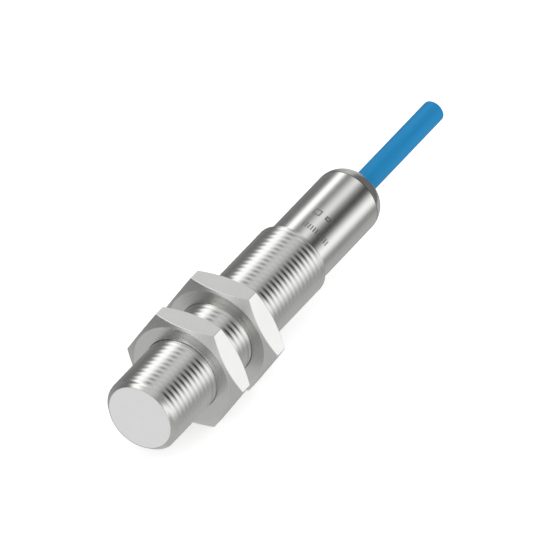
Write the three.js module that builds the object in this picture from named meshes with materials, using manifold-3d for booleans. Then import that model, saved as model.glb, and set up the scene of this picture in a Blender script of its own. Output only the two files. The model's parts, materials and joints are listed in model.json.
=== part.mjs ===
// An M12x1 inductive proximity sensor with two fixing nuts and a cable.
// Millimetres. The sensor's axis is +Y, from the sensing face (y = 0) to the cable, and +Z is up.
import * as THREE from 'three';
import { mergeVertices } from 'three/addons/utils/BufferGeometryUtils.js';
import Module from 'manifold-3d';

const wasm = await Module();
wasm.setup();

// Fits
const SLIP = 0.03; // radial play of turned pieces that sit in each other
const LOOSE = 0.1; // play round moulded and cast pieces
const SEAT = 0.05; // axial gap where two pieces meet
const THREAD_PLAY = 0.06; // radial play of a nut over the thread's crests

// Housing
const THREAD_R = 6;
const PITCH = 1;
const ROOT_DEPTH = 0.61; // of the thread, in pitches
const RIM_DEPTH = 0.72; // how far the front chamfer goes in
const RIM_CHAMFER = 0.8;
const RIM_WALL = 0.05; // width of the rim's flat front edge
const THREAD_END = 42.6;
const SHOULDER_CHAMFER = 0.3;
const SHOULDER_STEP = 0.75;
const BARREL_END = 58.5;
const BARREL_WALL = 0.55;
const FRONT_WALL = 0.46; // behind the thread's roots, round the cap's skirt
const SKIRT_BORE_END = 7.6;

// Nuts
const NUT_FLATS = 17;
const NUT_THICK = 4;
const NUT_FACE_INSET = 0.42;
const NUT_CHAMFER_SLOPE = Math.tan(Math.PI / 6);
const NUT_SINK = 0.45;
const FRONT_NUT_Y = 11.6;
const NUT_GAP = 5.8;

// Sensing head
const FLANGE_THICK = 0.85;
const FACE_THICK = 0.9;
const SKIRT_WALL = 0.5;
const SKIRT_END = 7;
const CORE_LENGTH = 3.3;
const CORE_BACK = 1;
const CORE_WALL = 0.6;
const POST_R = 1.5;
const SPOOL_WALL = 0.25;
const FLANGE_WALL = 0.3;
const LEAD_R = 0.12;
const LEAD_ON_BOARD = 1.1;
const CARRIER_LENGTH = 3.7;
const TONGUE_DEPTH = 1.9;

// Electronics
const BOARD_THICK = 0.8;
const BOARD_LENGTH = 37.5;
const BOARD_MARGIN = 0.3; // from the board's edges to the bore and from the leads to the tongue's edges
const SOLDER_GAP = 0.05;
const RESIN_PAST_BOARD = 5.5;

// Cable and rear end
const CABLE_R = 1.77;
const CABLE_SIDES = 8;
const CABLE_STUB = 22.5;
const CABLE_INSIDE = 9;
const WIRE_R = 0.58;
const WIRE_X = 0.72;
const STRAND_R = 0.3;
const STRIPPED = 4;
const STRAND_PAST_EDGE = 0.6;
const DOME_FILLET = 2.5;
const CAP_LIP = 0.4;
const CAP_SPIGOT = 3.5;
const CAP_WALL = 0.65;
const CAP_END_WALL = 1.8;
const GROMMET_LENGTH = 2.9;
const CRIMP_LENGTH = 2.8;
const CRIMP_WALL = 0.6;

const ROUND_STEPS = 32;
const FINE_STEPS = 8;
const DOME_STEPS = 7;
const OVERSHOOT = 1; // how far a cutting tool runs past the face it cuts through
const MERGE_DISTANCE = 1e-5;

// Radii that follow from the sizes above
const ROOT_R = THREAD_R - ROOT_DEPTH * PITCH;
const RIM_R = THREAD_R - RIM_DEPTH;
const BARREL_R = THREAD_R - SHOULDER_STEP;
const BORE_R = BARREL_R - BARREL_WALL;
const COUNTERBORE_R = RIM_R - RIM_WALL;
const FACE_R = COUNTERBORE_R - SLIP;
const SKIRT_BORE_R = ROOT_R - FRONT_WALL;
const SKIRT_R = SKIRT_BORE_R - SLIP;
const SKIRT_INNER_R = SKIRT_R - SKIRT_WALL;
const CORE_R = SKIRT_INNER_R - LOOSE;
const GROOVE_R = CORE_R - CORE_WALL;
const SPOOL_INNER_R = POST_R + SEAT;
const SPOOL_DRUM_R = SPOOL_INNER_R + SPOOL_WALL;
const SPOOL_R = GROOVE_R - LOOSE;
const LEAD_X = (SPOOL_DRUM_R + SPOOL_R) / 2;
const CABLE_HOLE_R = CABLE_R + LOOSE;
const DOME_R = Math.min(DOME_FILLET, BARREL_R - CABLE_HOLE_R - CAP_LIP);
const SPIGOT_R = BORE_R - SLIP;
const CAP_RECESS_R = SPIGOT_R - CAP_WALL;
const NUT_CORNER_R = NUT_FLATS / 2 / Math.cos(Math.PI / 6);
const NUT_FACE_R = NUT_FLATS / 2 - NUT_FACE_INSET;

// Places along the axis, and the board's
const REAR_NUT_Y = FRONT_NUT_Y + NUT_THICK + NUT_GAP;
const CORE_Y = FACE_THICK + SEAT;
const GROOVE_END = CORE_Y + CORE_LENGTH - CORE_BACK;
const SPOOL_Y = CORE_Y + SEAT;
const SPOOL_END = GROOVE_END - SEAT;
const CARRIER_Y = CORE_Y + CORE_LENGTH + SEAT;
const CARRIER_END = CARRIER_Y + CARRIER_LENGTH;
const RESIN_Y = CARRIER_END + LOOSE;
const BOARD_Y = RESIN_Y + 2 * LOOSE;
const BOARD_END = BOARD_Y + BOARD_LENGTH;
const BOARD_TOP = -(STRAND_R + SOLDER_GAP);
const BOARD_BOTTOM = BOARD_TOP - BOARD_THICK;
const BOARD_HALF = Math.sqrt((BORE_R - BOARD_MARGIN) ** 2 - BOARD_BOTTOM ** 2);
const TONGUE_HALF = LEAD_X + BOARD_MARGIN;
const TONGUE_Y = CARRIER_END - TONGUE_DEPTH + LOOSE;
const LEAD_Z = BOARD_TOP + LEAD_R + SOLDER_GAP;
const RESIN_END = BOARD_END + RESIN_PAST_BOARD;
const REAR_Y = BARREL_END + DOME_R;
const JACKET_Y = REAR_Y - CABLE_INSIDE;
const CABLE_END = REAR_Y + CABLE_STUB;
const CAP_RECESS_END = REAR_Y - CAP_END_WALL;
const GROMMET_Y = CAP_RECESS_END - SEAT - GROMMET_LENGTH;
const CRIMP_Y = GROMMET_Y - SEAT - CRIMP_LENGTH;

const METAL = { color: 0xc9cac6, roughness: 0.25, metalness: 1 };
const FACE_PLASTIC = { color: 0xd6d6d6, roughness: 0.7, metalness: 0 };
const DARK_PLASTIC = { color: 0x2b2c2e, roughness: 0.6, metalness: 0 };
const WHITE_PLASTIC = { color: 0xd8d2c0, roughness: 0.6, metalness: 0 };
const RUBBER = { color: 0x1c1c1c, roughness: 0.8, metalness: 0 };
const FERRITE = { color: 0x3a3836, roughness: 0.7, metalness: 0 };
const COPPER = { color: 0xb5653a, roughness: 0.35, metalness: 1 };
const BOARD_GREEN = { color: 0x1f6b3a, roughness: 0.5, metalness: 0 };
const CERAMIC = { color: 0xb9a27c, roughness: 0.5, metalness: 0 };
const RESIN = { color: 0x45403a, roughness: 0.4, metalness: 0 };
const JACKET_BLUE = { color: 0x2c84bc, roughness: 0.5, metalness: 0 };
const WIRE_BROWN = { color: 0x6b3f22, roughness: 0.5, metalness: 0 };
const WIRE_BLUE = { color: 0x2458a8, roughness: 0.5, metalness: 0 };

const sensor = new THREE.Group();

function addPiece(name, geometry, finish) {
  const piece = new THREE.Mesh(geometry, new THREE.MeshStandardMaterial(finish));
  piece.name = name;
  sensor.add(piece);
}

// A turned piece on the sensor's axis. Each point is [radius, y], outside going up.
function turned(points, steps = ROUND_STEPS) {
  return new THREE.LatheGeometry(points.map(([radius, y]) => new THREE.Vector2(radius, y)), steps);
}

function turnedRing(points, steps = ROUND_STEPS) {
  return turned([...points, points[0]], steps);
}

function tube(innerR, outerR, from, to, steps = ROUND_STEPS) {
  return turnedRing([[outerR, from], [outerR, to], [innerR, to], [innerR, from]], steps);
}

function rod(radius, from, to, steps = FINE_STEPS) {
  return turned([[0, from], [radius, from], [radius, to], [0, to]], steps);
}

function block(width, length, height, x, y, z) {
  return new THREE.BoxGeometry(width, length, height).translate(x, y, z);
}

function solid(geometry) {
  const bare = geometry.clone();
  bare.deleteAttribute('normal');
  bare.deleteAttribute('uv');
  const merged = mergeVertices(bare, MERGE_DISTANCE);
  const corners = Array.from(merged.index.array);
  const triVerts = [];
  for (let i = 0; i < corners.length; i += 3) {
    const [a, b, c] = corners.slice(i, i + 3);
    if (a !== b && b !== c && c !== a) {
      triVerts.push(a, b, c);
    }
  }
  const mesh = new wasm.Mesh({
    numProp: 3,
    vertProperties: merged.getAttribute('position').array,
    triVerts: new Uint32Array(triVerts),
  });
  return new wasm.Manifold(mesh);
}

function shapeOf(body) {
  const mesh = body.getMesh();
  const geometry = new THREE.BufferGeometry();
  geometry.setAttribute('position', new THREE.BufferAttribute(mesh.vertProperties, 3));
  geometry.setIndex(new THREE.BufferAttribute(mesh.triVerts, 1));
  geometry.computeVertexNormals();
  return geometry;
}

function cut(geometry, tools) {
  return shapeOf(tools.reduce((body, tool) => body.subtract(solid(tool)), solid(geometry)));
}

// The thread as a row of V ridges, crest to crest, one pitch apart
function threadRidges(from, to) {
  const points = [];
  const turns = Math.floor((to - from) / PITCH);
  for (let turn = 0; turn < turns; turn += 1) {
    points.push([THREAD_R, from + turn * PITCH]);
    points.push([ROOT_R, from + (turn + 0.5) * PITCH]);
  }
  points.push([THREAD_R, from + turns * PITCH]);
  return points;
}

function housing() {
  const shoulder = THREAD_END - SHOULDER_CHAMFER;
  const end = BARREL_END - SEAT;
  const counterboreEnd = FLANGE_THICK + SLIP;
  return turnedRing([
    [RIM_R, 0],
    ...threadRidges(RIM_CHAMFER, shoulder),
    [THREAD_R, shoulder],
    [THREAD_R - SHOULDER_CHAMFER, THREAD_END],
    [BARREL_R, THREAD_END],
    [BARREL_R, end],
    [BORE_R, end],
    [BORE_R, SKIRT_BORE_END],
    [SKIRT_BORE_R, SKIRT_BORE_END],
    [SKIRT_BORE_R, counterboreEnd],
    [COUNTERBORE_R, counterboreEnd],
    [COUNTERBORE_R, 0],
  ]);
}

function nut(y) {
  const top = y + NUT_THICK;
  const blankR = NUT_CORNER_R + OVERSHOOT;
  const drop = (blankR - NUT_FACE_R) * NUT_CHAMFER_SLOPE;
  const boreR = THREAD_R + THREAD_PLAY;
  const hexagon = new THREE.CylinderGeometry(NUT_CORNER_R, NUT_CORNER_R, NUT_THICK, 6)
    .rotateY(Math.PI / 2)
    .translate(0, y + NUT_THICK / 2, 0);
  const blank = turnedRing([
    [NUT_FACE_R, y],
    [blankR, y + drop],
    [blankR, top - drop],
    [NUT_FACE_R, top],
    [boreR + NUT_SINK, top],
    [boreR, top - NUT_SINK],
    [boreR, y + NUT_SINK],
    [boreR + NUT_SINK, y],
  ], 2 * ROUND_STEPS);
  return shapeOf(solid(hexagon).intersect(solid(blank)));
}

function sensingCap() {
  return turned([
    [0, 0],
    [FACE_R, 0],
    [FACE_R, FLANGE_THICK],
    [SKIRT_R, FLANGE_THICK],
    [SKIRT_R, SKIRT_END],
    [SKIRT_INNER_R, SKIRT_END],
    [SKIRT_INNER_R, FACE_THICK],
    [0, FACE_THICK],
  ]);
}

function capSealRing() {
  const from = SKIRT_END + SEAT;
  const to = SKIRT_BORE_END - SEAT;
  const inner = SKIRT_INNER_R + SEAT;
  const outer = SKIRT_BORE_R - SEAT;
  const bevel = (outer - inner) / 4;
  return turnedRing([
    [outer - bevel, from],
    [outer, from + bevel],
    [outer, to - bevel],
    [outer - bevel, to],
    [inner + bevel, to],
    [inner, to - bevel],
    [inner, from + bevel],
    [inner + bevel, from],
  ]);
}

// The two holes that the coil's leads pass through
function leadHoles(from, to) {
  return [-LEAD_X, LEAD_X].map((x) => rod(LEAD_R + LOOSE, from, to).translate(x, 0, LEAD_Z));
}

function ferriteCore() {
  const end = CORE_Y + CORE_LENGTH;
  const pot = turned([
    [0, CORE_Y],
    [POST_R, CORE_Y],
    [POST_R, GROOVE_END],
    [GROOVE_R, GROOVE_END],
    [GROOVE_R, CORE_Y],
    [CORE_R, CORE_Y],
    [CORE_R, end],
    [0, end],
  ]);
  return cut(pot, leadHoles(GROOVE_END - OVERSHOOT, end + OVERSHOOT));
}

function coilBobbin() {
  const frontFlange = SPOOL_Y + FLANGE_WALL;
  const rearFlange = SPOOL_END - FLANGE_WALL;
  const body = turnedRing([
    [SPOOL_INNER_R, SPOOL_Y],
    [SPOOL_R, SPOOL_Y],
    [SPOOL_R, frontFlange],
    [SPOOL_DRUM_R, frontFlange],
    [SPOOL_DRUM_R, rearFlange],
    [SPOOL_R, rearFlange],
    [SPOOL_R, SPOOL_END],
    [SPOOL_INNER_R, SPOOL_END],
  ]);
  return cut(body, leadHoles(rearFlange - LEAD_R, SPOOL_END + OVERSHOOT));
}

function coilWinding() {
  const from = SPOOL_Y + FLANGE_WALL + SLIP;
  const to = SPOOL_END - FLANGE_WALL - SLIP;
  return tube(SPOOL_DRUM_R + SLIP, SPOOL_R - 2 * LOOSE, from, to);
}

function coilLead(x) {
  const from = SPOOL_END - FLANGE_WALL;
  return rod(LEAD_R, from, BOARD_Y + LEAD_ON_BOARD).translate(x, 0, LEAD_Z);
}

// The board's outline with its tongue, as a plate grown by a margin all round
function boardPlate(margin) {
  const half = BOARD_HALF + margin;
  const tongue = TONGUE_HALF + margin;
  const outline = new THREE.Shape([
    new THREE.Vector2(-tongue, TONGUE_Y - margin),
    new THREE.Vector2(tongue, TONGUE_Y - margin),
    new THREE.Vector2(tongue, BOARD_Y - margin),
    new THREE.Vector2(half, BOARD_Y - margin),
    new THREE.Vector2(half, BOARD_END + margin),
    new THREE.Vector2(-half, BOARD_END + margin),
    new THREE.Vector2(-half, BOARD_Y - margin),
    new THREE.Vector2(-tongue, BOARD_Y - margin),
  ]);
  const depth = BOARD_THICK + 2 * margin;
  return new THREE.ExtrudeGeometry(outline, { depth, bevelEnabled: false })
    .translate(0, 0, BOARD_BOTTOM - margin);
}

function coreCarrier() {
  const disc = rod(CORE_R, CARRIER_Y, CARRIER_END, ROUND_STEPS);
  const holes = leadHoles(CARRIER_Y - OVERSHOOT, CARRIER_END + OVERSHOOT);
  return cut(disc, [boardPlate(LOOSE), ...holes]);
}

// Surface-mounted pieces: size is [width, length, height], at is [x, distance along the board]
const CHIPS = [
  { name: 'oscillator_ic', side: 'top', size: [3.9, 4.9, 1.5], at: [0, 8.4], finish: DARK_PLASTIC },
  { name: 'trim_resistor', side: 'top', size: [3, 3, 1.2], at: [-1.6, 15], finish: WHITE_PLASTIC },
  { name: 'resistor_1', side: 'top', size: [1.25, 2, 0.5], at: [2.4, 15], finish: DARK_PLASTIC },
  { name: 'capacitor_1', side: 'top', size: [2.5, 3.2, 1.6], at: [0, 20.5], finish: CERAMIC },
  { name: 'output_transistor', side: 'top', size: [2.9, 1.4, 1], at: [0, 26], finish: DARK_PLASTIC },
  { name: 'capacitor_2', side: 'bottom', size: [1.6, 3.2, 1.2], at: [0, 5], finish: CERAMIC },
  { name: 'resistor_2', side: 'bottom', size: [1.25, 2, 0.5], at: [1.5, 11], finish: DARK_PLASTIC },
  { name: 'resistor_3', side: 'bottom', size: [1.25, 2, 0.5], at: [-1.5, 11], finish: DARK_PLASTIC },
  { name: 'capacitor_3', side: 'bottom', size: [1.6, 3.2, 1.2], at: [0, 18], finish: CERAMIC },
  { name: 'protection_diode', side: 'bottom', size: [2.6, 4.3, 2], at: [0, 26], finish: DARK_PLASTIC },
];

// A chip's block, grown by a margin all round
function chipBlock({ side, size, at }, margin) {
  const [width, length, height] = size.map((edge) => edge + 2 * margin);
  const offset = SOLDER_GAP + size[2] / 2;
  const z = side === 'top' ? BOARD_TOP + offset : BOARD_BOTTOM - offset;
  return block(width, length, height, at[0], BOARD_Y + at[1], z);
}

function pottingResin() {
  const cast = rod(SPIGOT_R, RESIN_Y, RESIN_END, ROUND_STEPS);
  const strandFrom = BOARD_END - STRIPPED - LOOSE;
  const wirePockets = [-WIRE_X, WIRE_X].flatMap((x) => [
    rod(STRAND_R + LOOSE, strandFrom, RESIN_END).translate(x, 0, 0),
    rod(WIRE_R + LOOSE, BOARD_END + STRAND_PAST_EDGE - LOOSE, RESIN_END + OVERSHOOT).translate(x, 0, 0),
  ]);
  return cut(cast, [
    boardPlate(LOOSE),
    ...CHIPS.map((chip) => chipBlock(chip, LOOSE)),
    ...leadHoles(RESIN_Y - OVERSHOOT, BOARD_Y + LEAD_ON_BOARD + LOOSE),
    ...wirePockets,
  ]);
}

function rearCap() {
  const spigotY = BARREL_END - CAP_SPIGOT;
  const dome = [];
  for (let step = 0; step <= DOME_STEPS; step += 1) {
    const turn = (step / DOME_STEPS) * (Math.PI / 2);
    dome.push([BARREL_R - DOME_R * (1 - Math.cos(turn)), BARREL_END + DOME_R * Math.sin(turn)]);
  }
  return turnedRing([
    [SPIGOT_R, spigotY],
    [SPIGOT_R, BARREL_END],
    ...dome,
    [CABLE_HOLE_R, REAR_Y],
    [CABLE_HOLE_R, CAP_RECESS_END],
    [CAP_RECESS_R, CAP_RECESS_END],
    [CAP_RECESS_R, spigotY],
  ]);
}

function cableGrommet() {
  return tube(CABLE_R + SEAT, CAP_RECESS_R - SEAT, GROMMET_Y, GROMMET_Y + GROMMET_LENGTH);
}

function crimpRing() {
  const inner = CABLE_R + SEAT;
  return tube(inner, inner + CRIMP_WALL, CRIMP_Y, CRIMP_Y + CRIMP_LENGTH);
}

// The cable leaves the rear cap straight and is cut off square
const CABLE_ROUTE = [
  new THREE.Vector3(0, JACKET_Y, 0),
  new THREE.Vector3(0, REAR_Y, 0),
  new THREE.Vector3(0, REAR_Y + CABLE_STUB / 3, 0),
  new THREE.Vector3(0, REAR_Y + (2 * CABLE_STUB) / 3, 0),
  new THREE.Vector3(0, CABLE_END, 0),
];

function cableJacket() {
  const section = new THREE.Shape();
  for (let side = 0; side < CABLE_SIDES; side += 1) {
    const turn = (side / CABLE_SIDES) * 2 * Math.PI;
    section[side ? 'lineTo' : 'moveTo'](CABLE_R * Math.cos(turn), CABLE_R * Math.sin(turn));
  }
  const extrudePath = new THREE.CatmullRomCurve3(CABLE_ROUTE);
  const filled = new THREE.ExtrudeGeometry(section, { steps: CABLE_ROUTE.length - 1, extrudePath });
  const wireHoles = [-WIRE_X, WIRE_X].map((x) => (
    rod(WIRE_R + LOOSE, JACKET_Y - OVERSHOOT, CABLE_END + OVERSHOOT).translate(x, 0, 0)
  ));
  return cut(filled, wireHoles);
}

function wire(x) {
  const from = BOARD_END + STRAND_PAST_EDGE;
  return tube(STRAND_R + SLIP, WIRE_R, from, CABLE_END, FINE_STEPS).translate(x, 0, 0);
}

function strand(x) {
  return rod(STRAND_R, BOARD_END - STRIPPED, CABLE_END).translate(x, 0, 0);
}

addPiece('threaded_housing', housing(), METAL);
addPiece('front_nut', nut(FRONT_NUT_Y), METAL);
addPiece('rear_nut', nut(REAR_NUT_Y), METAL);
addPiece('sensing_cap', sensingCap(), FACE_PLASTIC);
addPiece('cap_seal_ring', capSealRing(), RUBBER);
addPiece('ferrite_core', ferriteCore(), FERRITE);
addPiece('coil_bobbin', coilBobbin(), WHITE_PLASTIC);
addPiece('coil_winding', coilWinding(), COPPER);
addPiece('coil_lead_1', coilLead(-LEAD_X), COPPER);
addPiece('coil_lead_2', coilLead(LEAD_X), COPPER);
addPiece('core_carrier', coreCarrier(), DARK_PLASTIC);
addPiece('circuit_board', boardPlate(0), BOARD_GREEN);
CHIPS.forEach((chip) => addPiece(chip.name, chipBlock(chip, 0), chip.finish));
addPiece('potting_resin', pottingResin(), RESIN);
addPiece('rear_cap', rearCap(), METAL);
addPiece('cable_grommet', cableGrommet(), RUBBER);
addPiece('crimp_ring', crimpRing(), METAL);
addPiece('cable_jacket', cableJacket(), JACKET_BLUE);
addPiece('brown_core', wire(-WIRE_X), WIRE_BROWN);
addPiece('blue_core', wire(WIRE_X), WIRE_BLUE);
addPiece('brown_conductor', strand(-WIRE_X), COPPER);
addPiece('blue_conductor', strand(WIRE_X), COPPER);

export default sensor;
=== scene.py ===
"""An M12x1 proximity sensor with its two nuts and a blue cable stub, on a pale floor.
The sensor's axis is +Y, from the sensing face to the cable, and +Z is up. Lengths are in metres."""

import json
import math

import bmesh
import bpy
from mathutils import Matrix, Vector


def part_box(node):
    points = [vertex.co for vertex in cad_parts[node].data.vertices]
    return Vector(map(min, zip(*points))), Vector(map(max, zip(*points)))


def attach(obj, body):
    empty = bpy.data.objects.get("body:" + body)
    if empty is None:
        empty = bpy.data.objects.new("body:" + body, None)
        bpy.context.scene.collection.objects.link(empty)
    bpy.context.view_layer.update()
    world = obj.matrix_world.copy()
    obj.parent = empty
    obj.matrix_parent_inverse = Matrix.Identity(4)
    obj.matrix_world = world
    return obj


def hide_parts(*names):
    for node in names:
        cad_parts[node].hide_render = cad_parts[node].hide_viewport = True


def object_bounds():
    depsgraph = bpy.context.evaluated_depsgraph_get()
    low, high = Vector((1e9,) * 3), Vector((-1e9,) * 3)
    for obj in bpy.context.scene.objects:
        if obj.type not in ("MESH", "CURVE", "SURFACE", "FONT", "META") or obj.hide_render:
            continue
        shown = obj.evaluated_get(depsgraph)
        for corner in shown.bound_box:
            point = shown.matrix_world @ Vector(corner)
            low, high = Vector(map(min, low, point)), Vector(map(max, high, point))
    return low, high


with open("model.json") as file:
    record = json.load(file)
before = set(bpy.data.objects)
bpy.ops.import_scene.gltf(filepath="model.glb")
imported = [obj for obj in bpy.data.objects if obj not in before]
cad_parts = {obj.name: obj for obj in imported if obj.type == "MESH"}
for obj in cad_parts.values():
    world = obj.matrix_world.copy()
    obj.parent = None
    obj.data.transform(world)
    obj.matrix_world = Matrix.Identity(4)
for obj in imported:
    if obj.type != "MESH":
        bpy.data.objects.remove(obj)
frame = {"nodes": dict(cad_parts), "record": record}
cad_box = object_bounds()

MM = 0.001
AXIS = (0, 1, 0)
ROUND_STEPS = 96  # a multiple of six, so that a nut's corners fall on a step
FINE_STEPS = 48
WIRE_STEPS = 24
FILLET_STEPS = 3
MERGE = 1e-7

# Sizes taken from the frame
housing_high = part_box("threaded_housing")[1]
cap_low, cap_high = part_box("sensing_cap")
rear_low, rear_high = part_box("rear_cap")
cable_low, cable_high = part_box("cable_jacket")
THREAD_R = housing_high.z
BARREL_END = housing_high.y
REAR_Y = rear_high.y
CABLE_R = cable_high.x

# Thread and housing
PITCH = 1 * MM
RIM_R = THREAD_R - 0.72 * MM
RIM_CHAMFER = 0.8 * MM
THREAD_END = 42.6 * MM
RUN_OUT = 1.1 * MM
SHOULDER_CHAMFER = 0.3 * MM
BARREL_R = THREAD_R - 0.75 * MM
BORE_R = BARREL_R - 0.55 * MM
COUNTERBORE_R = RIM_R - 0.05 * MM
COUNTERBORE_DEPTH = 0.88 * MM
SKIRT_BORE_R = 4.93 * MM
SKIRT_BORE_END = 7.6 * MM
THREAD_DEPTH = 0.28 * MM
THREAD_START = 0.15 * MM
# Place along one pitch, and share of the depth below the crest; the crests rise a little rearward
THREAD_PROFILE = (
    (0.0, 0.22), (0.05, 0.15), (0.44, 0.0), (0.49, 0.1), (0.6, 0.9), (0.64, 1.0), (0.7, 1.0), (0.75, 0.88),
    (0.95, 0.3),
)

# Sensing cap
SEAT_FIT = 0.03 * MM  # also between the rear cap and the barrel's bore
CAP_RIM = 0.85 * MM
CAP_FACE = 0.9 * MM
SKIRT_WALL = 0.5 * MM

# Domed rear cap
SEAM = 0.05 * MM
DOME_Y = BARREL_END + SEAM
DOME_START = 10  # degrees by which the dome leans in where it leaves the barrel
DOME_DROP = 1.75 * MM
DOME_STEPS = 16
REAR_WALL = 1.8 * MM
SPIGOT_WALL = 0.65 * MM
CABLE_GAP = 0.1 * MM

# Laser marks: middle and half width in degrees from straight up, middle and half length in millimetres
BAR_SPACING = 5.0
BAR_SHARE = 0.45
BAR_ROW = (30, 27.4, 45.3, 0.55)
LASER_BLOCKS = (  # each a square with the smaller one left out of it
    ((10, 7, 48.6, 0.65), (10, 4.5, 48.6, 0.42)),
    ((31, 5, 48.6, 0.45), (31, 2, 48.6, 0.15)),
)
BURNT_TONE = (0.12, 0.12, 0.12)

# Nuts
NUT_FLATS = 17 * MM
NUT_FACE_R = NUT_FLATS / 2 - 0.42 * MM
NUT_SLOPE = math.tan(math.radians(30))
NUT_BORE_R = THREAD_R + 0.02 * MM
NUT_EDGE = 0.07 * MM

# Cable: the route of its jacket, straight out of the rear cap and cut off square
WIRE_R = 0.58 * MM
WIRE_HOLE_R = WIRE_R + 0.04 * MM
WIRE_X = 0.72 * MM
STRAND_R = 0.3 * MM
STRAND_LAY = 9 * MM
STRAND_STEPS = 14  # along one lay
CABLE_ROUTE = [(0, y * MM, 0) for y in (52.0, 61.0, 68.5, 76.0, 83.5)]

# Pieces inside
COIL_INNER_R = 1.83 * MM
COIL_TURNS = 12
SEAL_INNER_R = 4.45 * MM
CABLE_FIT = 0.05 * MM
TONGUE_HALF = 3.0 * MM
TONGUE_END = 8.3 * MM
LEG_THICK = 0.13 * MM
TRACK_THICK = 0.035 * MM
RAIL_X = 3.6 * MM
RAIL_WIDTH = 0.4 * MM
TRACK_HALF = 0.1 * MM
END_SHARE = 0.2  # of a chip's length, for the tinned cap and the pad at each end

# Legs of the leaded chips: direction in degrees, and place along that side
IC_LEGS = [(direction, (step - 1.5) * 1.27 * MM) for direction in (0, 180) for step in range(4)]
TRANSISTOR_LEGS = [(270, -0.95 * MM), (270, 0.95 * MM), (90, 0)]
DIODE_LEGS = [(90, 0), (270, 0)]

# End-capped chips and their finishes
TOP_CHIPS = {"resistor_1": "black_plastic", "capacitor_1": "tan_ceramic"}
BOTTOM_CHIPS = {
    "capacitor_2": "tan_ceramic",
    "resistor_2": "black_plastic",
    "resistor_3": "black_plastic",
    "capacitor_3": "tan_ceramic",
}

# Pads under the wires: the wire, and where its pad starts and ends along the board
STRAND_PADS = [(node, 41.6 * MM, 45.4 * MM) for node in ("brown_conductor", "blue_conductor")]
LEAD_PADS = [(node, TONGUE_END + 0.2 * MM, 9.7 * MM) for node in ("coil_lead_1", "coil_lead_2")]


# ---------------------------------------------------------------- camera

VIEW_AZIMUTH = math.radians(30.9)
VIEW_ELEVATION = math.radians(38.7)
VIEW_DISTANCE = 2.4
VIEW_WIDTH = 80.2 * MM
VIEW_CENTRE = Vector((0, 38.0, 0.3)) * MM
SENSOR_WIDTH = 36


def place_camera():
    away = Vector((
        math.cos(VIEW_ELEVATION) * math.sin(VIEW_AZIMUTH),
        -math.cos(VIEW_ELEVATION) * math.cos(VIEW_AZIMUTH),
        math.sin(VIEW_ELEVATION),
    ))
    lens = bpy.data.cameras.new("camera")
    lens.sensor_width = SENSOR_WIDTH
    lens.lens = SENSOR_WIDTH * VIEW_DISTANCE / VIEW_WIDTH
    lens.clip_end = 50
    camera = bpy.data.objects.new("camera", lens)
    camera.location = VIEW_CENTRE + away * VIEW_DISTANCE
    camera.rotation_euler = (-away).to_track_quat("-Z", "Y").to_euler()
    bpy.context.scene.collection.objects.link(camera)
    bpy.context.scene.camera = camera


place_camera()


# ---------------------------------------------------------------- node helpers

def add(tree, kind, values=None, **settings):
    """A new node. Values are numbers, or outputs to link, by the input's name or place."""
    made = tree.nodes.new("ShaderNode" + kind)
    for name, setting in settings.items():
        setattr(made, name, setting)
    for socket, value in (values or {}).items():
        if isinstance(value, bpy.types.NodeSocket):
            tree.links.new(value, made.inputs[socket])
        else:
            made.inputs[socket].default_value = value
    return made


def calc(tree, operation, a, b=0.0):
    return add(tree, "Math", {0: a, 1: b}, operation=operation).outputs[0]


def spread(tree, value, low, high, from_low=0.0, from_high=1.0):
    """Value carried from one range to another."""
    ends = {"Value": value, "From Min": from_low, "From Max": from_high, "To Min": low, "To Max": high}
    return add(tree, "MapRange", ends, clamp=True).outputs["Result"]


def noise(tree, point, scale, detail=2.0):
    return add(tree, "TexNoise", {"Vector": point, "Scale": scale, "Detail": detail}).outputs["Fac"]


def drift(tree, value, low=0.0, high=1.0):
    """A noise's usual values, 0.3 to 0.7, carried to low and high."""
    return spread(tree, value, low, high, 0.3, 0.7)


def stretched(tree, point, scale):
    return add(tree, "Mapping", {"Vector": point, "Scale": scale}).outputs["Vector"]


def clock_angle(tree, apart):
    """Degrees round the sensor's axis, from straight up towards +X."""
    return calc(tree, "MULTIPLY", calc(tree, "ARCTAN2", apart["X"], apart["Z"]), 180 / math.pi)


def blend(tree, factor, a, b):
    return add(tree, "Mix", {"Factor": factor, "A": a, "B": b}, data_type="FLOAT").outputs["Result"]


def blend_colours(tree, factor, a, b):
    """A colour between two others; each is an output or a tuple."""
    a, b = ((*tone, 1) if isinstance(tone, tuple) else tone for tone in (a, b))
    return add(tree, "Mix", {"Factor": factor, "A": a, "B": b}, data_type="RGBA").outputs["Result"]


def ramp(tree, value, stops, easing="EASE"):
    """A grey or coloured ramp; stops are (place, grey or colour)."""
    made = add(tree, "ValToRGB", {"Fac": value})
    made.color_ramp.interpolation = easing
    elements = made.color_ramp.elements
    while len(elements) < len(stops):
        elements.new(0.5)
    for element, (place, tone) in zip(elements, stops):
        element.position = place
        element.color = (*tone, 1) if isinstance(tone, tuple) else (tone, tone, tone, 1)
    return made.outputs["Color"]


def finish(name, colour, roughness, metallic=0.0, **constants):
    """A new material with its shader, tree and object coordinates."""
    material = bpy.data.materials.new(name)
    material.use_nodes = True
    tree = material.node_tree
    shader = tree.nodes["Principled BSDF"]
    shader.inputs["Base Color"].default_value = (*colour, 1)
    shader.inputs["Roughness"].default_value = roughness
    shader.inputs["Metallic"].default_value = metallic
    for socket, value in constants.items():
        shader.inputs[socket.replace("_", " ")].default_value = value
    point = add(tree, "TexCoord").outputs["Object"]
    return material, tree, shader, point


def bump(tree, shader, height, depth):
    made = add(tree, "Bump", {"Height": height, "Distance": depth, "Strength": 1.0})
    tree.links.new(made.outputs["Normal"], shader.inputs["Normal"])


def tint(tree, shader, value, dark, light):
    """Base colour that drifts between two tones with a 0 to 1 value."""
    tree.links.new(blend_colours(tree, value, dark, light), shader.inputs["Base Color"])


# ---------------------------------------------------------------- finishes

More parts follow.
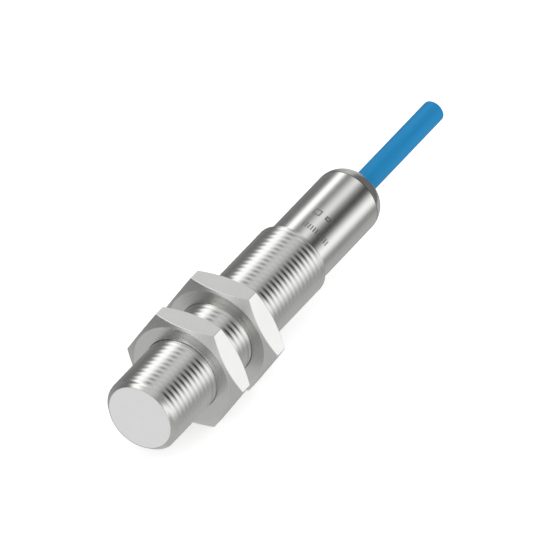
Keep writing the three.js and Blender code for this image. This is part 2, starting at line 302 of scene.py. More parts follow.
def radius_and_height(tree, point):
    """The distance from the sensor's axis and the place along it."""
    apart = add(tree, "SeparateXYZ", {"Vector": point}).outputs
    squares = calc(tree, "ADD", calc(tree, "MULTIPLY", apart["X"], apart["X"]),
                   calc(tree, "MULTIPLY", apart["Z"], apart["Z"]))
    return calc(tree, "SQRT", squares), apart["Y"]


def tool_lines(tree, point, spacing):
    """Fine lines left by a turning tool, round the axis, on cylinders, cones and end faces alike."""
    radius, along = radius_and_height(tree, point)
    across = add(tree, "CombineXYZ", {"X": calc(tree, "MULTIPLY", radius, 1 / spacing),
                                      "Y": calc(tree, "MULTIPLY", along, 1 / spacing)}).outputs["Vector"]
    return noise(tree, across, 1.0, 3.0)


def laser_patch(tree, turn, along, patch):
    """1 inside a patch of the barrel, 0 outside it."""
    turn_middle, turn_half, middle, half = patch
    wide = add(tree, "Math", {0: turn, 1: turn_middle, 2: turn_half}, operation="COMPARE").outputs[0]
    tall = add(tree, "Math", {0: along, 1: middle * MM, 2: half * MM}, operation="COMPARE").outputs[0]
    return calc(tree, "MULTIPLY", wide, tall)


def laser_marks(tree, point):
    """A plain row of bars and two small square rings, burnt on the barrel behind the thread."""
    apart = add(tree, "SeparateXYZ", {"Vector": point}).outputs
    turn = clock_angle(tree, apart)
    place_in_bar = calc(tree, "FRACT", calc(tree, "MULTIPLY", turn, 1 / BAR_SPACING))
    bars = calc(tree, "LESS_THAN", place_in_bar, BAR_SHARE)
    marks = calc(tree, "MULTIPLY", bars, laser_patch(tree, turn, apart["Y"], BAR_ROW))
    for outer, inner in LASER_BLOCKS:
        ring = calc(tree, "SUBTRACT", laser_patch(tree, turn, apart["Y"], outer),
                    laser_patch(tree, turn, apart["Y"], inner))
        marks = calc(tree, "MAXIMUM", marks, ring)
    burn = noise(tree, point, 9000, 2.0)
    return calc(tree, "MULTIPLY", marks, spread(tree, burn, 0.55, 1.0, 0.3, 0.6))


def turned_steel(name, roughness, marked=False):
    """Turned metal with tool lines round the axis, and laser marks on the barrel if marked."""
    material, tree, shader, point = finish(name, (0.74, 0.74, 0.725), roughness, 1.0, Anisotropic=0.3)
    lines = tool_lines(tree, point, 0.06 * MM)
    haze = noise(tree, point, 260, 3.0)
    uneven = calc(tree, "ADD", calc(tree, "MULTIPLY", lines, 0.5), calc(tree, "MULTIPLY", haze, 0.5))
    worn = drift(tree, uneven, roughness - 0.05, roughness + 0.06)
    tone = blend_colours(tree, drift(tree, haze), (0.72, 0.72, 0.70), (0.76, 0.76, 0.745))
    if marked:
        marks = laser_marks(tree, point)
        tone = blend_colours(tree, calc(tree, "MULTIPLY", marks, 0.75), tone, BURNT_TONE)
        worn = calc(tree, "ADD", worn, calc(tree, "MULTIPLY", marks, 0.25))
    tree.links.new(worn, shader.inputs["Roughness"])
    tree.links.new(tone, shader.inputs["Base Color"])
    bump(tree, shader, lines, 0.0006 * MM)
    along = add(tree, "Tangent", direction_type="RADIAL", axis="Y").outputs["Tangent"]
    tree.links.new(along, shader.inputs["Tangent"])
    return material


def nut_steel():
    """Drawn flats with a faint grain along the bar; turned faces and chamfers."""
    material, tree, shader, point = finish("nut_steel", (0.76, 0.76, 0.74), 0.22, 1.0)
    facing = add(tree, "SeparateXYZ", {"Vector": add(tree, "TexCoord").outputs["Normal"]}).outputs["Y"]
    turned_face = spread(tree, calc(tree, "ABSOLUTE", facing), 0.0, 1.0, 0.2, 0.3)
    grain = noise(tree, stretched(tree, point, (9000, 500, 9000)), 1.0, 3.0)
    lines = tool_lines(tree, point, 0.07 * MM)
    marks = blend(tree, turned_face, grain, lines)
    worn = calc(tree, "ADD", drift(tree, marks, 0.12, 0.18), calc(tree, "MULTIPLY", turned_face, 0.13))
    tree.links.new(worn, shader.inputs["Roughness"])
    haze = noise(tree, point, 300, 3.0)
    tint(tree, shader, drift(tree, haze), (0.745, 0.745, 0.728), (0.775, 0.775, 0.757))
    bump(tree, shader, marks, 0.0002 * MM)
    return material


def face_plastic():
    """Pale moulded plastic with a fine matt grain."""
    material, tree, shader, point = finish("face_plastic", (0.67, 0.67, 0.67), 0.62, Specular_IOR_Level=0.3)
    grain = noise(tree, point, 9000, 3.0)
    cloud = noise(tree, point, 500, 2.0)
    tint(tree, shader, drift(tree, cloud), (0.662, 0.662, 0.662), (0.678, 0.678, 0.678))
    tree.links.new(spread(tree, grain, 0.56, 0.7), shader.inputs["Roughness"])
    bump(tree, shader, grain, 0.004 * MM)
    return material


def cable_blue():
    """Extruded jacket: broad and fine streaks along it, and a matt grain."""
    material, tree, shader, point = finish("cable_blue", (0.0095, 0.227, 0.493), 0.6, Specular_IOR_Level=0.15)
    streaks = noise(tree, stretched(tree, point, (7000, 350, 7000)), 1.0, 2.0)
    broad = noise(tree, stretched(tree, point, (900, 40, 900)), 1.0, 1.0)
    bands = calc(tree, "ADD", calc(tree, "MULTIPLY", streaks, 0.3), calc(tree, "MULTIPLY", broad, 0.7))
    grain = noise(tree, point, 6000, 3.0)
    tones = spread(tree, bands, 0.0, 1.0, 0.35, 0.65)
    tint(tree, shader, tones, (0.008, 0.206, 0.45), (0.011, 0.246, 0.53))
    tree.links.new(spread(tree, grain, 0.42, 0.56), shader.inputs["Roughness"])
    both = calc(tree, "ADD", calc(tree, "MULTIPLY", streaks, 0.4), grain)
    bump(tree, shader, both, 0.004 * MM)
    return material


def moulded(name, colour, roughness, metallic=0.0, scale=4000.0, depth=0.003 * MM):
    """A plain moulded, cast or drawn surface: slight mottling and a fine bump."""
    material, tree, shader, point = finish(name, colour, roughness, metallic)
    cloud = noise(tree, point, scale / 8, 2.0)
    grain = noise(tree, point, scale, 3.0)
    darker = tuple(0.88 * part for part in colour)
    lighter = tuple(min(1.0, 1.1 * part) for part in colour)
    tint(tree, shader, drift(tree, cloud), darker, lighter)
    low, high = max(0.05, roughness - 0.06), roughness + 0.06
    tree.links.new(spread(tree, grain, low, high), shader.inputs["Roughness"])
    bump(tree, shader, grain, depth)
    return material


FINISHES = {
    "turned_steel": turned_steel("turned_steel", 0.14),
    "marked_steel": turned_steel("marked_steel", 0.14, marked=True),
    "nut_steel": nut_steel(),
    "face_plastic": face_plastic(),
    "blue_jacket": cable_blue(),
    "black_rubber": moulded("black_rubber", (0.02, 0.02, 0.021), 0.75),
    "ferrite": moulded("ferrite", (0.055, 0.052, 0.05), 0.6, scale=9000.0),
    "white_plastic": moulded("white_plastic", (0.7, 0.66, 0.56), 0.5),
    "copper": moulded("copper", (0.82, 0.4, 0.24), 0.3, 1.0, scale=8000.0, depth=0.001 * MM),
    "black_plastic": moulded("black_plastic", (0.025, 0.025, 0.028), 0.5),
    "board_laminate": moulded("board_laminate", (0.02, 0.14, 0.05), 0.35),
    "white_ceramic": moulded("white_ceramic", (0.74, 0.73, 0.69), 0.45),
    "tan_ceramic": moulded("tan_ceramic", (0.46, 0.34, 0.2), 0.45),
    "cast_resin": moulded("cast_resin", (0.05, 0.04, 0.035), 0.25),
    "crimp_brass": moulded("crimp_brass", (0.78, 0.6, 0.3), 0.3, 1.0, scale=5000.0, depth=0.001 * MM),
    "brown_insulation": moulded("brown_insulation", (0.16, 0.055, 0.02), 0.35),
    "blue_insulation": moulded("blue_insulation", (0.02, 0.09, 0.42), 0.35),
}


# ---------------------------------------------------------------- mesh helpers

def settle(mesh_maker, name, slot, body, replaced=(), sharp=30, surface=None):
    """Turns a bmesh into a finished piece: merged, facing out, smooth but for sharp edges, on its body."""
    bmesh.ops.remove_doubles(mesh_maker, verts=mesh_maker.verts, dist=MERGE)
    bmesh.ops.dissolve_degenerate(mesh_maker, dist=MERGE, edges=mesh_maker.edges)
    bmesh.ops.recalc_face_normals(mesh_maker, faces=mesh_maker.faces)
    mesh = bpy.data.meshes.new(name)
    mesh_maker.to_mesh(mesh)
    mesh_maker.free()
    mesh.shade_smooth()
    mesh.set_sharp_from_angle(angle=math.radians(sharp))
    mesh.materials.append(FINISHES[surface or slot])
    piece = bpy.data.objects.new(name, mesh)
    bpy.context.scene.collection.objects.link(piece)
    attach(piece, body)
    if replaced:
        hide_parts(*replaced)
    return piece


def keep_faces_true(piece):
    """Lets broad faces set the normals at their rims, so that a small fillet doesn't bend their shading."""
    steady = piece.modifiers.new("steady_shading", "WEIGHTED_NORMAL")
    steady.mode = "FACE_AREA"
    steady.weight = 100
    steady.keep_sharp = True
    return piece


def eased(corners):
    """A profile whose corners are rounded. Each corner is (radius, y) or (radius, y, fillet)."""
    points = []
    count = len(corners)
    for i, corner in enumerate(corners):
        here = Vector(corner[:2])
        fillet = corner[2] if len(corner) > 2 else 0
        if not fillet:
            points.append(here)
            continue
        back = (Vector(corners[i - 1][:2]) - here).normalized()
        ahead = (Vector(corners[(i + 1) % count][:2]) - here).normalized()
        half = back.angle(ahead) / 2
        centre = here + (back + ahead).normalized() * (fillet / math.sin(half))
        start = (here + back * (fillet / math.tan(half)) - centre).normalized()
        end = (here + ahead * (fillet / math.tan(half)) - centre).normalized()
        for step in range(FILLET_STEPS + 1):
            points.append(centre + start.slerp(end, step / FILLET_STEPS) * fillet)
    return points


def spin_profile(mesh_maker, points, closed, steps=ROUND_STEPS, rise=0.0, x=0.0):
    """Turns a line of (radius, y) points round the axis, or round one at x, climbing by rise in one turn."""
    line = [mesh_maker.verts.new((x, y, radius)) for radius, y in points]
    pairs = list(zip(line, line[1:])) + ([(line[-1], line[0])] if closed else [])
    edges = [mesh_maker.edges.new(pair) for pair in pairs]
    bmesh.ops.spin(
        mesh_maker, geom=line + edges, cent=(x, 0, 0), axis=AXIS, dvec=(0, rise / steps, 0),
        angle=2 * math.pi, steps=steps, use_merge=not rise, use_normal_flip=False, use_duplicate=False,
    )


def turned_piece(name, corners, slot, body, replaced=(), closed=True, sharp=30):
    maker = bmesh.new()
    spin_profile(maker, eased(corners), closed)
    keep_faces_true(settle(maker, name, slot, body, replaced, sharp))


def arc(radius, start, end, steps):
    """Points along an arc, both ends included."""
    angles = (start + (end - start) * step / steps for step in range(steps + 1))
    return [(radius * math.cos(angle), radius * math.sin(angle)) for angle in angles]


# ---------------------------------------------------------------- housing

def cut_thread(vert):
    """Holds a helix point inside the chamfer and the run-out, and ends the helix on two plain circles."""
    shoulder = THREAD_END - SHOULDER_CHAMFER
    radius = math.hypot(vert.co.x, vert.co.z)
    y = min(max(vert.co.y, 0.0), shoulder)
    chamfer = RIM_R + (THREAD_R - RIM_R) * min(1.0, y / RIM_CHAMFER)
    depth = THREAD_R - radius
    fade = min(1.0, max(0.0, (shoulder - y) / RUN_OUT)) * min(1.0, y / THREAD_START)
    new_radius = chamfer - depth * fade
    if vert.co.y <= 0:
        new_radius = RIM_R
    scale = new_radius / radius
    vert.co = Vector((vert.co.x * scale, y, vert.co.z * scale))


def threaded_barrel():
    """The turned housing: a helical M12x1 thread, a smooth barrel behind it, bored right through."""
    maker = bmesh.new()
    turns = int((THREAD_END - SHOULDER_CHAMFER) / PITCH) + 3
    helix = [(THREAD_R - share * THREAD_DEPTH, (turn - 2 + place) * PITCH)
             for turn in range(turns) for place, share in THREAD_PROFILE]
    spin_profile(maker, helix, False, rise=PITCH)
    bmesh.ops.remove_doubles(maker, verts=maker.verts, dist=MERGE)
    for vert in maker.verts:
        cut_thread(vert)
    shoulder = THREAD_END - SHOULDER_CHAMFER
    rest = eased([
        (THREAD_R, shoulder),
        (THREAD_R - SHOULDER_CHAMFER, THREAD_END, 0.05 * MM),
        (BARREL_R, THREAD_END, 0.12 * MM),
        (BARREL_R, BARREL_END, 0.06 * MM),
        (BORE_R, BARREL_END, 0.06 * MM),
        (BORE_R, SKIRT_BORE_END),
        (SKIRT_BORE_R, SKIRT_BORE_END),
        (SKIRT_BORE_R, COUNTERBORE_DEPTH),
        (COUNTERBORE_R, COUNTERBORE_DEPTH),
        (COUNTERBORE_R, 0),
        (RIM_R, 0),
    ])
    spin_profile(maker, rest, False)
    keep_faces_true(settle(maker, "threaded_barrel", "turned_steel", "sensor", ["threaded_housing"],
                           surface="marked_steel"))


# ---------------------------------------------------------------- nuts

def hexagon_reach(x, z):
    """The hexagon's radius in the direction of x and z; two of its flats face up and down."""
    turn = math.atan2(x, z) % (math.pi / 3)
    return NUT_FLATS / 2 / math.cos(min(turn, math.pi / 3 - turn))


def hexagon_nut(name):
    """A thin nut from drawn hexagon bar, both faces chamfered at 30 degrees, its sharp edges broken."""
    low, high = (corner.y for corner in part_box(name))
    maker = bmesh.new()
    outline = [
        (NUT_BORE_R, low),
        (NUT_FACE_R, low),
        (NUT_FLATS, low),
        (NUT_FLATS, high),
        (NUT_FACE_R, high),
        (NUT_BORE_R, high),
    ]
    spin_profile(maker, outline, True)
    for vert in maker.verts:
        if math.hypot(vert.co.x, vert.co.z) > NUT_FLATS - MERGE:
            reach = hexagon_reach(vert.co.x, vert.co.z)
            scale = reach / NUT_FLATS
            drop = (reach - NUT_FACE_R) * NUT_SLOPE
            side = 1 if vert.co.y < (low + high) / 2 else -1
            vert.co = Vector((vert.co.x * scale, vert.co.y + side * drop, vert.co.z * scale))
    piece = settle(maker, name + "_finished", "nut_steel", name, [name])
    edge = piece.modifiers.new("broken_edges", "BEVEL")
    edge.width = NUT_EDGE
    edge.segments = 2
    edge.limit_method = "ANGLE"
    edge.angle_limit = math.radians(20)
    edge.harden_normals = True


# ---------------------------------------------------------------- cap, rear end and cable

def sensing_cap():
    """The cap: its face flush with the housing's rim, its skirt behind it in the bore."""
    skirt = SKIRT_BORE_R - SEAT_FIT
    edge = COUNTERBORE_R - SEAT_FIT
    turned_piece("sensing_face_cap", [
        (0, cap_low.y),
        (edge, cap_low.y, 0.03 * MM),
        (edge, CAP_RIM),
        (skirt, CAP_RIM),
        (skirt, cap_high.y, 0.1 * MM),
        (skirt - SKIRT_WALL, cap_high.y),
        (skirt - SKIRT_WALL, CAP_FACE),
        (0, CAP_FACE),
    ], "face_plastic", "sensor", ["sensing_cap"], closed=False)


def domed_rear_cap():
    """The cap behind the barrel: a dome with the cable's hole, and a spigot that sits in the bore."""
    hole = CABLE_R + CABLE_GAP
    spigot = BORE_R - SEAT_FIT
    recess = spigot - SPIGOT_WALL
    first = math.radians(DOME_START)
    length = (REAR_Y - DOME_Y) / (1 - math.sin(first))
    angles = [first + (math.pi / 2 - first) * step / DOME_STEPS for step in range(DOME_STEPS + 1)]
    dome = [(BARREL_R - DOME_DROP * (math.cos(first) - math.cos(angle)),
             DOME_Y + length * (math.sin(angle) - math.sin(first))) for angle in angles]
    turned_piece("domed_rear_cap", [
        (spigot, rear_low.y, 0.1 * MM),
        (spigot, DOME_Y),
        *dome,
        (hole, REAR_Y, 0.12 * MM),
        (hole, REAR_Y - REAR_WALL),
        (recess, REAR_Y - REAR_WALL),
        (recess, rear_low.y),
    ], "turned_steel", "sensor", ["rear_cap"])


def cable_jacket():
    """The jacket with its two wire holes, extruded along its route."""
    maker = bmesh.new()
    start = Matrix.Translation(CABLE_ROUTE[0]) @ Matrix.Rotation(math.radians(90), 4, "X")
    wire_holes = [(x, WIRE_HOLE_R, WIRE_STEPS) for x in (-WIRE_X, WIRE_X)]
    for x, radius, steps in [(0, CABLE_R, FINE_STEPS)] + wire_holes:
        ring = Matrix.Translation((x, 0, 0)) @ start
        bmesh.ops.create_circle(maker, cap_ends=False, radius=radius, segments=steps, matrix=ring)
    bmesh.ops.triangle_fill(maker, use_beauty=True, use_dissolve=False, edges=maker.edges)
    face = list(maker.faces)
    for before, after in zip(CABLE_ROUTE, CABLE_ROUTE[1:]):
        grown = bmesh.ops.extrude_face_region(maker, geom=face, use_keep_orig=True)["geom"]
        if before != CABLE_ROUTE[0]:
            bmesh.ops.delete(maker, geom=face, context="FACES_ONLY")
        face = [item for item in grown if isinstance(item, bmesh.types.BMFace)]
        moved = [item for item in grown if isinstance(item, bmesh.types.BMVert)]
        bmesh.ops.translate(maker, verts=moved, vec=Vector(after) - Vector(before))
    return keep_faces_true(settle(maker, "blue_cable", "blue_jacket", "sensor", ["cable_jacket"]))


def wire_insulation(name, node, slot):
    """A wire's coloured tube."""
    low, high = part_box(node)
    hole = STRAND_R + 0.03 * MM
    maker = bmesh.new()
    outline = [(hole, low.y), (WIRE_R, low.y), (WIRE_R, high.y), (hole, high.y)]
    spin_profile(maker, outline, True, WIRE_STEPS, x=(low.x + high.x) / 2)
    return settle(maker, name, slot, "sensor", [node])


def stranded_conductor(name, node):
    """Seven fine wires, six of them twisted round the seventh."""
    low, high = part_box(node)
    middle = (low.x + high.x) / 2
    length = high.y - low.y
    steps = round(STRAND_STEPS * length / STRAND_LAY)
    fine_r = STRAND_R / 3
    maker = bmesh.new()
    for place in range(7):
        turn = Matrix.Rotation(math.radians(60 * place), 4, "Y")
        out = 2 * fine_r if place else 0
        ring = Matrix.Translation((middle, low.y, 0)) @ turn @ Matrix.Translation((out, 0, 0))
        made = bmesh.ops.create_circle(maker, cap_ends=False, radius=0.98 * fine_r, segments=8,
                                       matrix=ring @ Matrix.Rotation(math.radians(90), 4, "X"))["verts"]
        edges = list(dict.fromkeys(edge for vert in made for edge in vert.link_edges))
        bmesh.ops.spin(
            maker, geom=made + edges, cent=(middle, 0, 0), axis=AXIS, dvec=(0, length / steps, 0),
            angle=2 * math.pi * length / STRAND_LAY, steps=steps, use_merge=False, use_duplicate=False,
        )
    bmesh.ops.holes_fill(maker, edges=maker.edges, sides=0)
    return settle(maker, name, "copper", "sensor", [node], sharp=50)


# ---------------------------------------------------------------- pieces inside the housing

def wound_coil():
    """Enamelled wire wound side by side: its turns show as ridges round the outside."""
    low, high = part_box("coil_winding")
    wire = (high.y - low.y) / COIL_TURNS
    outline = [(COIL_INNER_R, low.y)]
    for turn in range(COIL_TURNS):
        for step in range(1, 6):
            angle = math.pi * step / 6
            outline.append((high.z - wire / 2 + wire / 2 * math.sin(angle),
                            low.y + wire * (turn + 0.5 - 0.5 * math.cos(angle))))
    outline.append((COIL_INNER_R, high.y))
    turned_piece("wound_coil", outline, "copper", "sensor", ["coil_winding"], sharp=60)


def seal_ring():
    """The rubber ring behind the cap's skirt."""
    low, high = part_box("cap_seal_ring")
    roll = 0.14 * MM
    turned_piece("rubber_seal_ring", [
        (SEAL_INNER_R, low.y, roll),
        (high.z, low.y, roll),
        (high.z, high.y, roll),
        (SEAL_INNER_R, high.y, roll),
    ], "black_rubber", "sensor", ["cap_seal_ring"])


def ribbed_grommet():
    """The rubber seal round the jacket, with three sealing ribs."""
    low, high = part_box("cable_grommet")
    inner = CABLE_R + CABLE_FIT
    valley = high.z - 0.35 * MM
    ribs = 3
    rib = (high.y - low.y) / ribs
    outline = [(inner, low.y), (valley, low.y, 0.1 * MM)]
    for place in range(ribs):
        start = low.y + rib * place
        outline.append((valley, start + 0.25 * rib, 0.08 * MM))
        outline.append((high.z, start + 0.35 * rib, 0.12 * MM))
        outline.append((high.z, start + 0.65 * rib, 0.12 * MM))
        outline.append((valley, start + 0.75 * rib, 0.08 * MM))
    outline.append((valley, high.y, 0.1 * MM))
    outline.append((inner, high.y))
    turned_piece("ribbed_grommet", outline, "black_rubber", "sensor", ["cable_grommet"])


def grooved_crimp_ring():
    """A brass ring rolled into the jacket by two grooves."""
    low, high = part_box("crimp_ring")
    inner = CABLE_R + CABLE_FIT
    valley = high.z - 0.25 * MM
    groove_from_end = 0.85 * MM
    groove_half = 0.4 * MM
    valley_half = 0.15 * MM
    fillet = 0.1 * MM
    outline = [(inner, low.y), (high.z, low.y, 0.08 * MM)]
    for middle in (low.y + groove_from_end, high.y - groove_from_end):
        outline.append((high.z, middle - groove_half, fillet))
        outline.append((valley, middle - valley_half, fillet))
        outline.append((valley, middle + valley_half, fillet))
        outline.append((high.z, middle + groove_half, fillet))
    outline.append((high.z, high.y, 0.08 * MM))
    outline.append((inner, high.y))
    turned_piece("grooved_crimp_ring", outline, "crimp_brass", "sensor", ["crimp_ring"])


def block(maker, low, high, rounding=0.0):
    """A block between two corners, its edges rounded."""
    low, high = Vector(low), Vector(high)
    place = Matrix.Translation((low + high) / 2) @ Matrix.Diagonal((*(high - low), 1))
    made = bmesh.ops.create_cube(maker, size=1, matrix=place)["verts"]
    if rounding:
        edges = list(dict.fromkeys(edge for vert in made for edge in vert.link_edges))
        bmesh.ops.bevel(maker, geom=edges, offset=rounding, affect="EDGES", segments=2, profile=0.5,
                        material=-1)


def plate(maker, outline, height, place=Matrix.Identity(4)):
    """An outline of (x, y) points, carried by place and given a height."""
    face = maker.faces.new([maker.verts.new(place @ Vector((x, y, 0))) for x, y in outline])
    grown = bmesh.ops.extrude_face_region(maker, geom=[face], use_keep_orig=True)["geom"]
    moved = [item for item in grown if isinstance(item, bmesh.types.BMVert)]
    bmesh.ops.translate(maker, verts=moved, vec=place.to_3x3() @ Vector((0, 0, height)))


def bent_leg(maker, place, width, reach, height):
    """A leg that leaves the body level, bends down and lies flat on the board; x is out, z is up."""
    knee = 0.55 * reach
    outline = [
        (0, height),
        (knee, height),
        (knee, LEG_THICK),
        (reach, LEG_THICK),
        (reach, 0),
        (knee - LEG_THICK, 0),
        (knee - LEG_THICK, height - LEG_THICK),
        (0, height - LEG_THICK),
    ]
    upright = Matrix.Translation((0, width / 2, 0)) @ Matrix.Rotation(math.radians(90), 4, "X")
    plate(maker, outline, width, place @ upright)


def leaded_chip(node, slot, reach, width, legs, under=False):
    """A moulded body on bent legs, on top of the board or under it."""
    low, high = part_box(node)
    middle, half = (low + high) / 2, (high - low) / 2
    sideways = legs[0][0] % 180 == 0
    inset = Vector((reach if sideways else 0, 0 if sideways else reach, 0))
    stand_off = Vector((0, 0, 0.1 * MM))
    body = bmesh.new()
    if under:
        block(body, low + inset, high - inset - stand_off, 0.1 * MM)
    else:
        block(body, low + inset + stand_off, high - inset, 0.1 * MM)
    settle(body, node + "_body", slot, "sensor", [node])
    metal = bmesh.new()
    board = Matrix.Translation((middle.x, middle.y, high.z if under else low.z))
    flip = Matrix.Diagonal((1, 1, -1 if under else 1, 1))
    out = (half.x if sideways else half.y) - reach
    leg_height = 1.1 * half.z
    for direction, offset in legs:
        turn = Matrix.Rotation(math.radians(direction), 4, "Z")
        foot = board @ turn @ Matrix.Translation((out, offset, 0)) @ flip
        bent_leg(metal, foot, width, reach, leg_height)
    settle(metal, node + "_legs", "nut_steel", "sensor")


def end_capped_chip(node, slot):
    """A small ceramic block with a tinned cap over each end."""
    low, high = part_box(node)
    cap = Vector((0, END_SHARE * (high.y - low.y), 0))
    skin = Vector((0.04, 0, 0.04)) * MM
    body = bmesh.new()
    block(body, low + skin + cap / 2, high - skin - cap / 2, 0.03 * MM)
    settle(body, node + "_body", slot, "sensor", [node])
    ends = bmesh.new()
    block(ends, low, (high.x, low.y + cap.y, high.z), 0.06 * MM)
    block(ends, (low.x, high.y - cap.y, low.z), high, 0.06 * MM)
    settle(ends, node + "_ends", "nut_steel", "sensor")


def trimming_resistor():
    """A ceramic square with a slotted brass screw on top."""
    low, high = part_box("trim_resistor")
    middle = (low + high) / 2
    screw_rise = 0.35 * MM
    top = high.z - screw_rise
    body = bmesh.new()
    block(body, low, (high.x, high.y, top), 0.1 * MM)
    settle(body, "trim_resistor_body", "white_ceramic", "sensor", ["trim_resistor"])
    screw = bmesh.new()
    radius, slot_half, half_steps = 1.0 * MM, 0.16 * MM, 16
    edge = math.asin(slot_half / radius)
    place = Matrix.Translation((middle.x, middle.y, top))
    for side in (0, math.pi):
        plate(screw, arc(radius, side + edge, side + math.pi - edge, half_steps), screw_rise, place)
    whole = arc(radius, 0, 2 * math.pi, 2 * half_steps)[:-1]
    plate(screw, whole, screw_rise / 3, place)
    settle(screw, "trim_resistor_screw", "crimp_brass", "sensor")


def laminate_board():
    """The circuit board, with a narrow tongue towards the coil."""
    low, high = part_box("circuit_board")
    outline = [
        (-TONGUE_HALF, low.y),
        (TONGUE_HALF, low.y),
        (TONGUE_HALF, TONGUE_END),
        (high.x, TONGUE_END),
        (high.x, high.y),
        (low.x, high.y),
        (low.x, TONGUE_END),
        (-TONGUE_HALF, TONGUE_END),
    ]
    maker = bmesh.new()
    plate(maker, outline, high.z - low.z, Matrix.Translation((0, 0, low.z)))
    settle(maker, "laminate_board", "board_laminate", "sensor", ["circuit_board"])


def copper_tracks(name, chips, wire_pads, under):
    """Pads under the chips' ends and the wires, joined to a rail along each long edge of the board."""
    board_low, board_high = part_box("circuit_board")
    bottom = board_low.z - TRACK_THICK if under else board_high.z
    top = bottom + TRACK_THICK
    maker = bmesh.new()
    margin = 1 * MM
    for side in (-1, 1):
        inner, outer = (side * RAIL_X + half for half in (-RAIL_WIDTH / 2, RAIL_WIDTH / 2))
        block(maker, (inner, TONGUE_END + margin, bottom), (outer, board_high.y - margin, top))
    for node in chips:
        low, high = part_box(node)
        middle = (low.x + high.x) / 2
        pad = END_SHARE * (high.y - low.y)
        for side, start in ((-1, low.y), (1, high.y - pad)):
            block(maker, (low.x, start, bottom), (high.x, start + pad, top))
            towards = side if abs(middle) < MERGE else math.copysign(1, middle)
            near, far = sorted((middle, towards * RAIL_X))
            line = start + pad / 2
            block(maker, (near, line - TRACK_HALF, bottom), (far, line + TRACK_HALF, top))
    for node, start, end in wire_pads:
        low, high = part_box(node)
        block(maker, (low.x - TRACK_HALF, start, bottom), (high.x + TRACK_HALF, end, top))
        rail = math.copysign(RAIL_X, low.x)
        near, far = sorted(((low.x + high.x) / 2, rail))
        block(maker, (near, start, bottom), (far, start + 2 * TRACK_HALF, top))
    settle(maker, name, "copper", "sensor")


threaded_barrel()
for nut_name in ("front_nut", "rear_nut"):
    hexagon_nut(nut_name)
sensing_cap()
domed_rear_cap()
cable = cable_jacket()
wires = [
    wire_insulation("brown_insulation", "brown_core", "brown_insulation"),
    wire_insulation("blue_insulation", "blue_core", "blue_insulation"),
    stranded_conductor("brown_strands", "brown_conductor"),
    stranded_conductor("blue_strands", "blue_conductor"),
]

wound_coil()
seal_ring()
ribbed_grommet()
grooved_crimp_ring()
laminate_board()
leaded_chip("oscillator_ic", "black_plastic", reach=0.5 * MM, width=0.42 * MM, legs=IC_LEGS)
leaded_chip("output_transistor", "black_plastic", reach=0.3 * MM, width=0.42 * MM, legs=TRANSISTOR_LEGS)
leaded_chip("protection_diode", "black_plastic", reach=0.55 * MM, width=1.4 * MM, legs=DIODE_LEGS, under=True)
for chip, chip_slot in (TOP_CHIPS | BOTTOM_CHIPS).items():
    end_capped_chip(chip, chip_slot)
trimming_resistor()
copper_tracks("upper_tracks", ["trim_resistor", *TOP_CHIPS], STRAND_PADS + LEAD_PADS, under=False)
copper_tracks("lower_tracks", ["protection_diode", *BOTTOM_CHIPS], [], under=True)


# ---------------------------------------------------------------- finishes of the frame's own nodes

for row in frame["record"]["subparts"]:
    node = frame["nodes"][row["node"]]
    node.data.materials.clear()
    node.data.materials.append(FINISHES[row["material_slot"]])


# ---------------------------------------------------------------- floor and light

FLOOR_Z = cad_box[0][2]
FLOOR_HALF = 3.0
FLOOR_GLOW = 0.45


def pale_floor():
    """A pale, faintly glowing floor that the metal doesn't mirror."""
    maker = bmesh.new()
    level = Matrix.Translation((0, 0, FLOOR_Z))
    bmesh.ops.create_grid(maker, x_segments=1, y_segments=1, size=FLOOR_HALF, matrix=level)
    mesh = bpy.data.meshes.new("floor")
    maker.to_mesh(mesh)
    maker.free()
    material, tree, shader, point = finish("pale_floor", (0.93, 0.93, 0.93), 0.9)
    tint(tree, shader, noise(tree, point, 12, 2.0), (0.925, 0.925, 0.925), (0.935, 0.935, 0.935))
    shader.inputs["Emission Color"].default_value = (1, 1, 1, 1)
    shader.inputs["Emission Strength"].default_value = FLOOR_GLOW
    mesh.materials.append(material)
    floor = bpy.data.objects.new("floor", mesh)
    floor.visible_glossy = False
    floor.visible_diffuse = False
    bpy.context.scene.collection.objects.link(floor)


# Brightness of the light cards round the sensor's axis: degrees from straight up towards +X, and tone
REAR_CARDS = (  # those that the plain barrel mirrors
    (-180, 0.45), (-150, 0.34), (-128, 0.25), (-88, 0.21), (-74, 0.24), (-65, 0.5), (-57, 1.08), (-52, 1.45),
    (-42, 1.45), (-37, 1.1), (-32, 0.62), (-27, 0.4), (-22, 0.31), (-16, 0.35), (-7, 0.58), (2, 0.88),
    (10, 0.99), (17, 0.88), (25, 0.53), (34, 0.26), (43, 0.115), (49, 0.085), (56, 0.14), (64, 0.33),
    (74, 0.8), (84, 1.2), (94, 1.22), (103, 0.94), (115, 0.42), (126, 0.33), (144, 0.46), (180, 0.5),
)
CREST_CARDS = (  # those that the crests of the thread mirror
    (-180, 0.6), (-147, 0.6), (-128, 0.4), (-100, 0.3), (-78, 0.2), (-60, 0.22), (-51, 0.5), (-43, 1.3),
    (-31, 1.35), (-25, 0.95), (-18, 0.5), (-11, 0.36), (-5, 0.52), (3, 0.72), (12, 0.7), (20, 0.56),
    (28, 0.3), (35, 0.1), (44, 0.06), (51, 0.09), (58, 0.24), (67, 0.57), (76, 0.9), (86, 0.88),
    (96, 0.6), (106, 0.41), (122, 0.43), (137, 0.51), (180, 0.52),
)
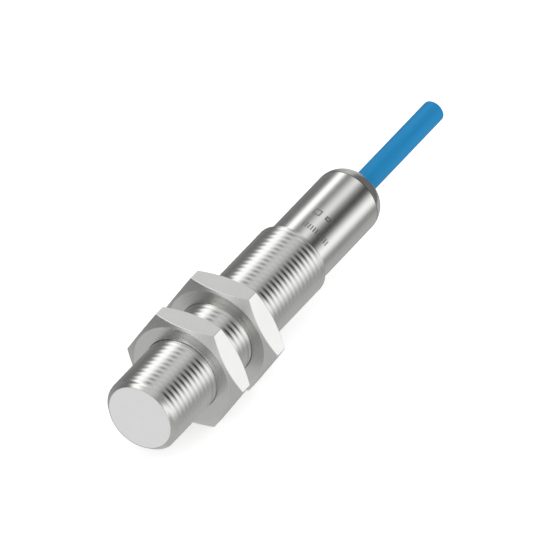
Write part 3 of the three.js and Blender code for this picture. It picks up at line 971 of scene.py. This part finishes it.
FRONT_CARDS = (  # those that the front sides of the thread and the nuts' front faces mirror
    (-180, 0.57), (-147, 0.57), (-128, 0.44), (-105, 0.32), (-88, 0.26), (-78, 0.2), (-61, 0.2), (-55, 0.42),
    (-50, 0.85), (-44, 1.35), (-33, 1.4), (-27, 1.2), (-22, 0.95), (-16, 0.74), (-8, 0.68), (10, 0.66),
    (20, 0.54), (30, 0.37), (40, 0.33), (50, 0.48), (58, 0.8), (66, 1.1), (78, 1.2), (88, 1.05),
    (98, 0.7), (110, 0.44), (125, 0.45), (140, 0.51), (180, 0.52),
)
END_CARDS = (  # those beyond the cable end, from -X to +X, which the dome mirrors
    (-1.0, 0.3), (-0.64, 0.32), (-0.55, 0.48), (-0.42, 0.62), (-0.27, 0.5), (-0.19, 0.31), (-0.1, 0.19),
    (0.0, 0.165), (0.5, 0.18), (0.7, 0.3), (1.0, 0.4),
)
POLE_CARD = 0.6  # straight in front of the sensing face
LOW_END_CARD = 0.5  # low down beyond the cable end, on the +X side
# Where one row gives way to the next, by how far the mirrored direction points along +Y
FRONT_TO_POLE = (-0.9, -0.99)
FRONT_TO_CREST = (0.0, 0.3)
CREST_TO_REAR = (0.53, 0.61)
REAR_TO_END = (0.75, 0.8)
# Where the low card beyond the cable end begins, along Z and along X
LOW_END_BELOW = (-0.3, -0.42)
LOW_END_BEYOND = (-0.1, 0.05)
BRIGHTEST_CARD = 1.5
SOFT_LIGHT = 1.0


def within(tree, value, ends):
    """0 at the first end, 1 at the second."""
    return spread(tree, value, 0.0, 1.0, *ends)


def card_light(tree, value, cards, low, high):
    """The tone of a row of cards at a place between low and high."""
    stops = [((place - low) / (high - low), tone / BRIGHTEST_CARD) for place, tone in cards]
    tones = ramp(tree, spread(tree, value, 0.0, 1.0, low, high), stops, "LINEAR")
    return calc(tree, "MULTIPLY", tones, BRIGHTEST_CARD)


def studio_light():
    """An even soft light, long light and dark cards for the metal to mirror, and a white backdrop."""
    world = bpy.data.worlds.new("studio")
    bpy.context.scene.world = world
    world.cycles.sampling_method = "NONE"
    world.use_nodes = True
    tree = world.node_tree
    apart = add(tree, "SeparateXYZ", {"Vector": add(tree, "TexCoord").outputs["Generated"]}).outputs
    turn = clock_angle(tree, apart)
    rear = card_light(tree, turn, REAR_CARDS, -180, 180)
    crest = card_light(tree, turn, CREST_CARDS, -180, 180)
    front = card_light(tree, turn, FRONT_CARDS, -180, 180)
    end = card_light(tree, apart["X"], END_CARDS, -1, 1)
    low_end = calc(tree, "MULTIPLY", within(tree, apart["Z"], LOW_END_BELOW),
                   within(tree, apart["X"], LOW_END_BEYOND))
    end = blend(tree, low_end, end, LOW_END_CARD)
    cards = blend(tree, within(tree, apart["Y"], FRONT_TO_POLE), front, POLE_CARD)
    cards = blend(tree, within(tree, apart["Y"], FRONT_TO_CREST), cards, crest)
    cards = blend(tree, within(tree, apart["Y"], CREST_TO_REAR), cards, rear)
    cards = blend(tree, within(tree, apart["Y"], REAR_TO_END), cards, end)
    path = add(tree, "LightPath").outputs
    tone = blend(tree, path["Is Glossy Ray"], SOFT_LIGHT, cards)
    shown = blend(tree, path["Is Camera Ray"], tone, 1.0)
    tree.links.new(shown, tree.nodes["Background"].inputs["Color"])


pale_floor()
studio_light()
bpy.context.scene.view_settings.view_transform = "Standard"
